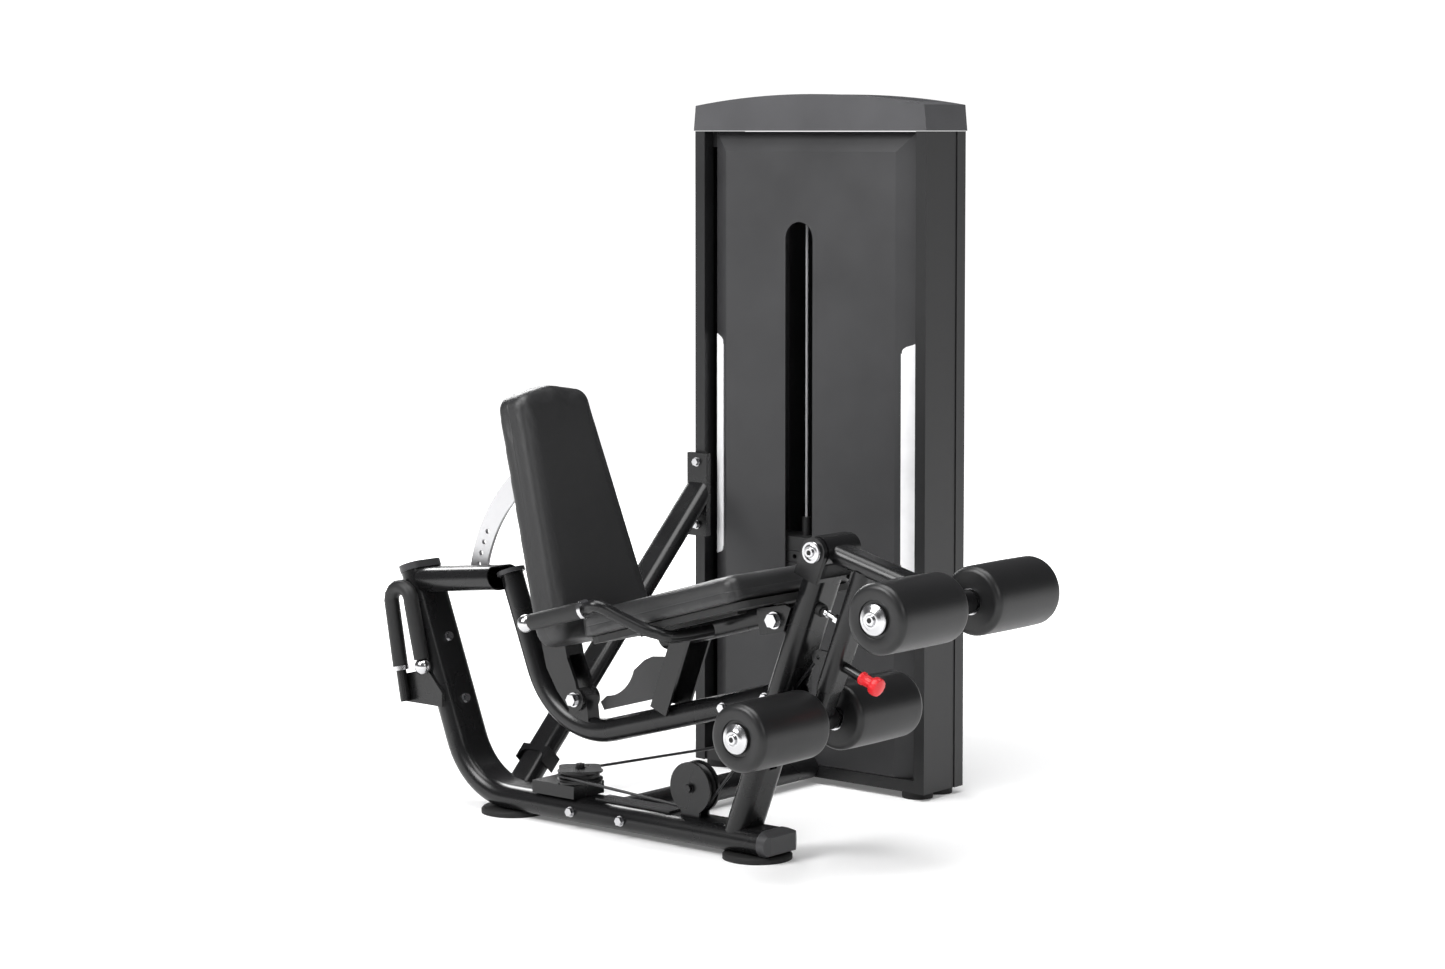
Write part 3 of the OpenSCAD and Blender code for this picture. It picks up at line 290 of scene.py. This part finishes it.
roller_skin = powder_coat("roller_foam_skin", (0.0088, 0.0088, 0.0092), 0.36, grain=420.0, lift=0.16)
roller_r, shoulder, bore_r = 0.066, 0.014, 0.0126
for place in ("upper", "lower"):
    for side, s in (("near", -1), ("far", 1)):
        node = f"{place}_roller_{side}"
        low, high = (Vector(c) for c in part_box(node))
        axis = (low + high) / 2
        length = high.y - low.y
        inner = Vector((axis.x, high.y if s < 0 else low.y, axis.z))
        body = [(bore_r, 0.001), (roller_r - shoulder, 0)]
        body += arc_profile(shoulder, (roller_r - shoulder, shoulder), -90, 0)
        body += [(roller_r + 0.0006 * math.sin(math.pi * t), shoulder + (length - 2 * shoulder) * t)
                 for t in np.linspace(0.08, 0.92, 9)]
        body += arc_profile(shoulder, (roller_r - shoulder, length - shoulder), 0, 90)
        body += [(0.0365, length), (0.0352, length - 0.0006), (0.0345, length - 0.003),
                 (0.0300, length - 0.003), (0.0292, length - 0.0008), (bore_r, length - 0.0008)]
        roller = turned(f"{node}_foam", body + [(bore_r, 0.001)], inner, (0, s, 0), 112, (roller_skin,))
        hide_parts(node)
        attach(roller, node)

# ---- Dished caps --------------------------------------------------------------------------
# A pressed chrome cap closes each roller and the knee axle, held by a socket screw in the
# middle; a dark hexagon of painted shade fills the screw's socket.
# Near-black paint for the hex socket: painted shade that stands in for the shadow inside it.
socket_painted_shade = powder_coat("socket_shadow", (0.006, 0.006, 0.006), 0.6)
def dished_cap(name, spot, s, r, body, height=0.010):
    """Pressed cap: a rolled rim, a soft dish and a raised boss, turned about the axle."""
    profile = [(r - 0.0015, 0), (r, 0.0012), (r + 0.0002, 0.003), (r - 0.0012, 0.0046)]
    profile += [(r * 0.86, 0.0052), (r * 0.74, 0.0072), (r * 0.60, height * 0.96),
                (r * 0.47, height * 1.04)]
    profile += [(r * 0.42, height * 1.02), (0.0098, height * 0.98), (0, height * 0.98)]
    cap = turned(f"{name}_cap", profile, spot, (0, s, 0), 72, (chrome,))
    head = [(0.0094, height * 0.9), (0.0094, height + 0.0032), (0.0084, height + 0.0042),
            (0.0052, height + 0.0042), (0.0052, height + 0.0008), (0, height + 0.0008)]
    screw = turned(f"{name}_screw", head, spot, (0, s, 0), 48, (chrome,))
    # The hollow is a dark hexagon of painted shade, laid over the screw's recess.
    hollow = [(0.0046, height + 0.0012), (0.0046, height + 0.0043), (0, height + 0.0043)]
    well = turned(f"{name}_socket", hollow, spot, (0, s, 0), 6, (socket_painted_shade,))
    for piece in (cap, screw, well):
        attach(piece, body)

for place, body in (("upper", "leg_lever"), ("lower", "lower_slide")):
    low, high = (Vector(c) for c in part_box(f"{place}_axle"))
    rollers = [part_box(f"{place}_roller_{side}") for side in ("near", "far")]
    axis = (low + high) / 2
    for side, s, edge in (("near", -1, rollers[0][0][1]), ("far", 1, rollers[1][1][1])):
        dished_cap(f"{place}_{side}", Vector((axis.x, edge + s * 0.0004, axis.z)), s, 0.0285, body, 0.0108)

knee = Vector(next(j for j in frame["joints"] if j["name"] == "leg_swing")["pos_m"])
low, high = (Vector(c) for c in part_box("pivot_axle"))
for side, s, edge in (("near", -1, low.y + 0.0066), ("far", 1, high.y - 0.0066)):
    dished_cap(f"knee_{side}", Vector((knee.x, edge, knee.z)), s, 0.0205, "frame", 0.0078)

# ---- Cushions -----------------------------------------------------------------------------
# Dense foam on a board, under black upholstery vinyl. Each pad is a closed form with round
# edges, swelled by a short cloth run so its faces crown and its sides stay full.
def vinyl(name, seam_turn, seam_height):
    """Leathered vinyl: cells of grain, fine noise, and one sewn seam round the pad's side."""
    mat, tree, shader = paint_nodes(name)
    place = tree.nodes.new("ShaderNodeTexCoord")
    cells = tree.nodes.new("ShaderNodeTexVoronoi")
    cells.inputs["Scale"].default_value = 620
    fine = tree.nodes.new("ShaderNodeTexNoise")
    fine.inputs["Scale"].default_value = 1500
    drift = tree.nodes.new("ShaderNodeTexNoise")
    drift.inputs["Scale"].default_value = 5
    tone = tree.nodes.new("ShaderNodeValToRGB")
    tone.color_ramp.elements[0].color = (0.0125, 0.0125, 0.0130, 1)
    tone.color_ramp.elements[1].color = (0.0165, 0.0165, 0.0171, 1)
    gloss = tree.nodes.new("ShaderNodeMapRange")
    gloss.inputs["To Min"].default_value, gloss.inputs["To Max"].default_value = 0.36, 0.48
    mix = tree.nodes.new("ShaderNodeMath")
    mix.operation = "ADD"
    turn = tree.nodes.new("ShaderNodeMapping")
    turn.vector_type = "TEXTURE"
    turn.inputs["Location"].default_value, turn.inputs["Rotation"].default_value = seam_turn
    depth = tree.nodes.new("ShaderNodeSeparateXYZ")
    away = tree.nodes.new("ShaderNodeMath")
    away.operation, away.inputs[1].default_value = "SUBTRACT", seam_height
    near = tree.nodes.new("ShaderNodeMath")
    near.operation = "ABSOLUTE"
    groove = tree.nodes.new("ShaderNodeMapRange")
    groove.inputs["From Max"].default_value = 0.0016
    groove.inputs["To Min"].default_value, groove.inputs["To Max"].default_value = -2.5, 0
    total = tree.nodes.new("ShaderNodeMath")
    total.operation = "ADD"
    bump = tree.nodes.new("ShaderNodeBump")
    bump.inputs["Strength"].default_value, bump.inputs["Distance"].default_value = 0.28, 0.0007
    link = tree.links.new
    for node in (cells, fine, drift, turn):
        link(place.outputs["Object"], node.inputs["Vector"])
    link(turn.outputs["Vector"], depth.inputs[0])
    link(depth.outputs["Z"], away.inputs[0])
    link(away.outputs[0], near.inputs[0])
    link(near.outputs[0], groove.inputs["Value"])
    link(cells.outputs["Distance"], mix.inputs[0])
    link(fine.outputs["Fac"], mix.inputs[1])
    link(mix.outputs[0], total.inputs[0])
    link(groove.outputs["Result"], total.inputs[1])
    link(total.outputs[0], bump.inputs["Height"])
    link(bump.outputs["Normal"], shader.inputs["Normal"])
    link(drift.outputs["Fac"], tone.inputs["Fac"])
    link(tone.outputs["Color"], shader.inputs["Base Color"])
    link(drift.outputs["Fac"], gloss.inputs["Value"])
    link(gloss.outputs["Result"], shader.inputs["Roughness"])
    shader.inputs["Specular IOR Level"].default_value = 0.45
    return mat

outline_n = 240
def rim(rounds, pull):
    """Outline round a set of corner circles, pulled in: the furthest point in each direction."""
    t = np.linspace(0, 2 * np.pi, outline_n, endpoint=False)
    way = np.stack([np.cos(t), np.sin(t)], -1)
    c = np.array(rounds)
    reach = way @ c[:, :2].T + c[:, 2]
    best = reach.argmax(1)
    return c[best, :2] + (c[best, 2] - pull)[:, None] * way

def pad(name, rounds, thick, top_r, under_r, place, mat):
    """Rings of the outline, rounded under and over, closed by flat faces and placed on the frame."""
    rings = []
    for t in np.linspace(0, math.pi / 2, 5):
        rings.append((under_r * (1 - math.sin(t)), under_r * (1 - math.cos(t))))
    for t in np.linspace(0, math.pi / 2, 8):
        rings.append((top_r * (1 - math.cos(t)), thick - top_r * (1 - math.sin(t))))
    n = outline_n
    pts = np.concatenate([np.c_[rim(rounds, pull), np.full(n, h)] for pull, h in rings])
    faces = [(r * n + j, r * n + (j + 1) % n, (r + 1) * n + (j + 1) % n, (r + 1) * n + j)
             for r in range(len(rings) - 1) for j in range(n)]
    faces += [tuple(range(n - 1, -1, -1)), tuple((len(rings) - 1) * n + j for j in range(n))]
    obj = surface(name, pts, faces, (mat,))
    swell(obj, 0.0030)
    obj.data.transform(place)
    obj.data.shade_smooth()
    sub = obj.modifiers.new("rounding", "SUBSURF")
    sub.levels = sub.render_levels = 1
    return obj

def swell(obj, cap, steps=16):
    """Remesh evenly, blow up as cloth for a few steps with the underside held, and cap the travel."""
    remesh = obj.modifiers.new("even", "REMESH")
    remesh.mode, remesh.voxel_size = "VOXEL", 0.0055
    bpy.context.view_layer.objects.active = obj
    bpy.ops.object.modifier_apply(modifier="even")
    start = np.zeros(len(obj.data.vertices) * 3)
    obj.data.vertices.foreach_get("co", start)
    start = start.reshape(-1, 3)
    held = obj.vertex_groups.new(name="held")
    held.add(np.flatnonzero(start[:, 2] < 0.004).tolist(), 1.0, "REPLACE")
    cloth = obj.modifiers.new("cloth", "CLOTH")
    cloth.settings.vertex_group_mass = "held"
    cloth.settings.use_pressure = True
    cloth.settings.uniform_pressure_force = 4
    cloth.settings.effector_weights.gravity = 0
    cloth.settings.quality = 5
    cloth.collision_settings.use_collision = False
    scene = bpy.context.scene
    for step in range(1, steps + 1):
        scene.frame_set(step)
    swelled = obj.evaluated_get(bpy.context.evaluated_depsgraph_get()).to_mesh()
    end = np.zeros(len(start) * 3)
    swelled.vertices.foreach_get("co", end)
    move = end.reshape(-1, 3) - start
    far = np.linalg.norm(move, axis=1, keepdims=True)
    move *= np.minimum(1, cap / np.maximum(far, 1e-9))
    obj.modifiers.remove(cloth)
    obj.data.vertices.foreach_set("co", (start + move).ravel())
    obj.vertex_groups.clear()
    even_out = obj.modifiers.new("even_out", "SMOOTH")
    even_out.factor, even_out.iterations = 0.5, 6
    bpy.ops.object.modifier_apply(modifier="even_out")
    scene.frame_set(1)

lean_seat, lean_back = math.radians(15.5), math.radians(18)
shift = Vector((0.1525, -0.28, 0))
seat_place = Matrix.Translation(shift + Vector((-0.300, 0, 0.407))) @ Matrix.Rotation(-lean_seat, 4, "Y")
seat_turn = (seat_place.translation, (0, -lean_seat, 0))
seat_vinyl = vinyl("seat_vinyl", seat_turn, 0.022)
seat_rounds = [(0.060, s * 0.090, 0.054) for s in (-1, 1)] + [(0.452, s * 0.157, 0.026) for s in (-1, 1)]
seat = pad("seat_cushion_vinyl", seat_rounds, 0.050, 0.016, 0.006, seat_place, seat_vinyl)
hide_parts("seat_cushion")
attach(seat, "frame")

back_turn_y = math.pi / 2 - lean_back
back_place = (Matrix.Translation(shift + Vector((-0.385, 0, 0.375))) @ Matrix.Rotation(-lean_back, 4, "Y")
              @ Matrix(((0, 0, 1, 0), (0, 1, 0, 0), (-1, 0, 0, 0), (0, 0, 0, 1))))
back_turn = (back_place.translation, tuple(back_place.to_euler()))
back_vinyl = vinyl("back_vinyl", back_turn, 0.030)
back_h = 0.543
back_rounds = [(-0.040, s * 0.116, 0.034) for s in (-1, 1)]
back_rounds += [(-(back_h - 0.052), s * 0.073, 0.036) for s in (-1, 1)] + [(-(back_h - 0.060), 0, 0.056)]
back = pad("back_cushion_vinyl", back_rounds, 0.068, 0.020, 0.006, back_place, back_vinyl)
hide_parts("back_cushion")
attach(back, "back_rest")

# ---- Side handles -------------------------------------------------------------------------
# One bent 25 mm tube on each side of the seat, with a foam grip at its rear end. The grip has
# a smooth outer skin, closed by a chrome ring in front and a chrome ball behind.
def carried(name, chain, radius, mat, seg=24, steps=14, ends=0.0):
    """Circle carried along a smooth curve through the chain's points, with rounded closed ends."""
    p = np.array(chain, float)
    ext = np.vstack([2 * p[0] - p[1], p, 2 * p[-1] - p[-2]])
    t = np.linspace(0, 1, steps, endpoint=False)[:, None]
    path = []
    for a, b, c, d in zip(ext[:-3], ext[1:-2], ext[2:-1], ext[3:]):
        path.append(0.5 * (2 * b + (c - a) * t + (2 * a - 5 * b + 4 * c - d) * t ** 2
                           + (3 * b - a - 3 * c + d) * t ** 3))
    path = np.vstack(path + [p[-1:]])
    way = np.gradient(path, axis=0)
    way /= np.linalg.norm(way, axis=1, keepdims=True)
    u = np.cross(way, np.array([0.05, 0.02, 1.0]))
    u /= np.linalg.norm(u, axis=1, keepdims=True)
    v = np.cross(way, u)
    a = np.linspace(0, 2 * np.pi, seg, endpoint=False)

    def wheel(i, r, off):
        """Ring of radius r across the path at point i, moved along it by off."""
        return path[i] + way[i] * off + r * (np.outer(np.cos(a), u[i]) + np.outer(np.sin(a), v[i]))

    rings, e = [], max(ends, 0.0008)
    rings += [wheel(0, radius * k, -q)
              for k, q in ((0.02, 0), (1 - e / radius, 0), (1 - 0.3 * e / radius, -0.3 * e))]
    rings += [wheel(i, radius, 0) for i in range(1 if ends else 0, len(path) - (1 if ends else 0))]
    rings += [wheel(-1, radius * k, -q)
              for k, q in ((1 - 0.3 * e / radius, 0.3 * e), (1 - e / radius, 0), (0.02, 0))]
    n = len(rings)
    faces = [(r * seg + j, r * seg + (j + 1) % seg, (r + 1) * seg + (j + 1) % seg, (r + 1) * seg + j)
             for r in range(n - 1) for j in range(seg)]
    faces += [tuple(range(seg - 1, -1, -1)), tuple((n - 1) * seg + j for j in range(seg))]
    return surface(name, np.vstack(rings), faces, (mat,))

grip_foam = powder_coat("grip_foam", (0.0085, 0.0085, 0.0088), 0.5, grain=520.0, lift=0.3)
grip_out = 0.235
handle_route = [(-0.324, 0, 0.454), (-0.186, 0, 0.492), (-0.148, 0, 0.503), (-0.116, -0.030, 0.481),
                (-0.084, -0.062, 0.458), (-0.062, -0.080, 0.449), (-0.040, -0.100, 0.442),
                (-0.010, -0.180, 0.448)]
for side, s in (("near", -1), ("far", 1)):
    route = [shift + Vector((x, s * (grip_out + y), z)) for x, y, z in handle_route]
    tube = carried(f"handle_tube_{side}", route, 0.0125, black_coat)
    rear, front = route[0], route[1]
    grip = carried(f"handle_grip_{side}", [rear, rear.lerp(front, 0.3), rear.lerp(front, 0.7), front], 0.0168,
                   grip_foam, 32, 6, 0.003)
    for piece, slot_name in ((tube, "frame_paint"), (grip, "foam")):
        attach(piece, "frame")
    if s < 0:
        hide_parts("side_handles")
        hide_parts("handle_grips")

# ---- Hook handle --------------------------------------------------------------------------
# A hook of bent tube beside the rear post. Its foam sleeve is carried along the same route, in one
# upright plane.
hook_top = Vector((-0.864, -0.068, 0.426))
hook_r = 0.030
hook_route = [Vector((-0.868, -0.068, 0.287)), Vector((-0.881, -0.068, 0.356))]
hook_route += [hook_top + hook_r * Vector((math.cos(a), 0, math.sin(a)))
               for a in np.radians(np.linspace(180, 0, 9))]
hook_route += [Vector((-0.819, -0.068, 0.366)), Vector((-0.804, -0.068, 0.308))]
def side_carried(name, chain, radius, mat, seg=32):
    """Circle carried along a route in one upright plane: each ring lies across the route."""
    p = np.array(chain)
    way = np.gradient(p, axis=0)
    way /= np.linalg.norm(way, axis=1, keepdims=True)
    across = np.cross(way, (0, 1, 0))
    a = np.linspace(0, 2 * np.pi, seg, endpoint=False)
    ring = np.cos(a)[None, :, None] * across[:, None, :] + np.sin(a)[None, :, None] * np.array([0, 1, 0])
    pts = (p[:, None, :] + radius * ring).reshape(-1, 3)
    n = len(p)
    faces = [(r * seg + j, r * seg + (j + 1) % seg, (r + 1) * seg + (j + 1) % seg, (r + 1) * seg + j)
             for r in range(n - 1) for j in range(seg)]
    faces += [tuple(range(seg - 1, -1, -1)), tuple((n - 1) * seg + j for j in range(seg))]
    return surface(name, pts, faces, (mat,))
hook_foam = side_carried("hook_grip_foam", [shift + p for p in hook_route], 0.0162, grip_foam)
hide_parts("hook_grip")
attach(hook_foam, "frame")

# ---- Pull pin with red knob ---------------------------------------------------------------
# A spring pin locks the sliding roller tube: a black housing, a bright steel rod, and a red
# moulded knob with a flange and finger ribs.
lean = math.radians(20.9)
across, along = Vector((math.cos(lean), 0, -math.sin(lean))), Vector((math.sin(lean), 0, math.cos(lean)))
pin_at = knee + across * 0.0936 + along * -0.197
red_gloss = powder_coat("red_moulding", (0.62, 0.018, 0.024), 0.3, grain=900.0, lift=0.03)
rod_piece = turned("pull_pin_rod", [(0, 0.0152), (0.005, 0.0152), (0.005, 0.070), (0, 0.070)], pin_at, across, 40,
                   (ground_steel,))
def ribbed_knob():
    """Turned knob whose waist radius waves round the axis to make finger ribs."""
    prof = [(0, 0.061), (0.0125, 0.061), (0.0132, 0.0625), (0.0132, 0.066), (0.0118, 0.068), (0.0112, 0.082),
            (0.0116, 0.089), (0.0170, 0.0915), (0.0182, 0.0935), (0.0182, 0.1035), (0.0170, 0.1065), (0.010, 0.109),
            (0, 0.1095)]
    knob = turned("pull_knob", prof, pin_at, across, 120, (red_gloss,))
    pts = np.zeros(len(knob.data.vertices) * 3)
    knob.data.vertices.foreach_get("co", pts)
    rel = pts.reshape(-1, 3) - np.array(pin_at)
    d = rel @ np.array(across)
    radial = rel - d[:, None] * np.array(across)
    ang = np.arctan2(radial @ np.array(along), radial[:, 1])
    ribs = np.where(((d > 0.067) & (d < 0.090)) | (d > 0.0925), 1 - 0.045 * (0.5 - 0.5 * np.cos(12 * ang)), 1)
    pts = rel + radial * (ribs - 1)[:, None] + np.array(pin_at)
    knob.data.vertices.foreach_set("co", pts.ravel())
    return knob
knob = ribbed_knob()
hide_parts("lever_pin")
for piece in (knob, rod_piece):
    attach(piece, "lever_pin")
finish_nodes(red_gloss, "selector_pin")

# ---- Lift cable ---------------------------------------------------------------------------
# A 6 mm steel cable in a smooth black jacket runs from the lever, under and round the pulleys,
# up the back of the tower and down to the stack. The run down to the stack is painted light
# grey, as a painted highlight for the glint along it.
jacket = powder_coat("cable_jacket", (0.020, 0.020, 0.021), 0.34, grain=700.0, lift=0.04)
finish_nodes(jacket, "lift_cable")
# Light grey paint on the run to the stack: a painted highlight, not the jacket's own colour.
painted_highlight_jacket = powder_coat("cable_painted_highlight", (0.36, 0.36, 0.37), 0.3, grain=900.0, lift=0.1)
lug = knee + across * 0.049 + along * -0.207
wheel_at = Vector(next(j for j in frame["joints"] if j["name"] == "base_pulley_spin")["pos_m"])
to_lug = lug - wheel_at
lead = math.atan2(to_lug.z, to_lug.x) - math.acos(0.045 / to_lug.length)
leave = wheel_at + 0.045 * Vector((math.cos(lead), 0, math.sin(lead)))
end = lug - to_lug.normalized() * 0.0156
rise = np.linspace(0, 1, 12)
lever_run = turned("cable_to_lever_jacket", [(0, 0)] + [(0.003, (end - leave).length * t) for t in rise]
                   + [(0, (end - leave).length)], leave, end - leave, 16, (jacket,))
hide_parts("cable_to_lever")
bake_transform(lever_run)

low, high = (Vector(c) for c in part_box("cable_to_stack"))
centre = (low + high) / 2
stack_run = turned("cable_to_stack_jacket", [(0, 0)] + [(0.003, (high.z - low.z) * t) for t in rise]
                   + [(0, high.z - low.z)], (centre.x, centre.y, low.z), (0, 0, 1), 16, (painted_highlight_jacket,))
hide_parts("cable_to_stack")
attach(stack_run, "frame")
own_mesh(stack_run)
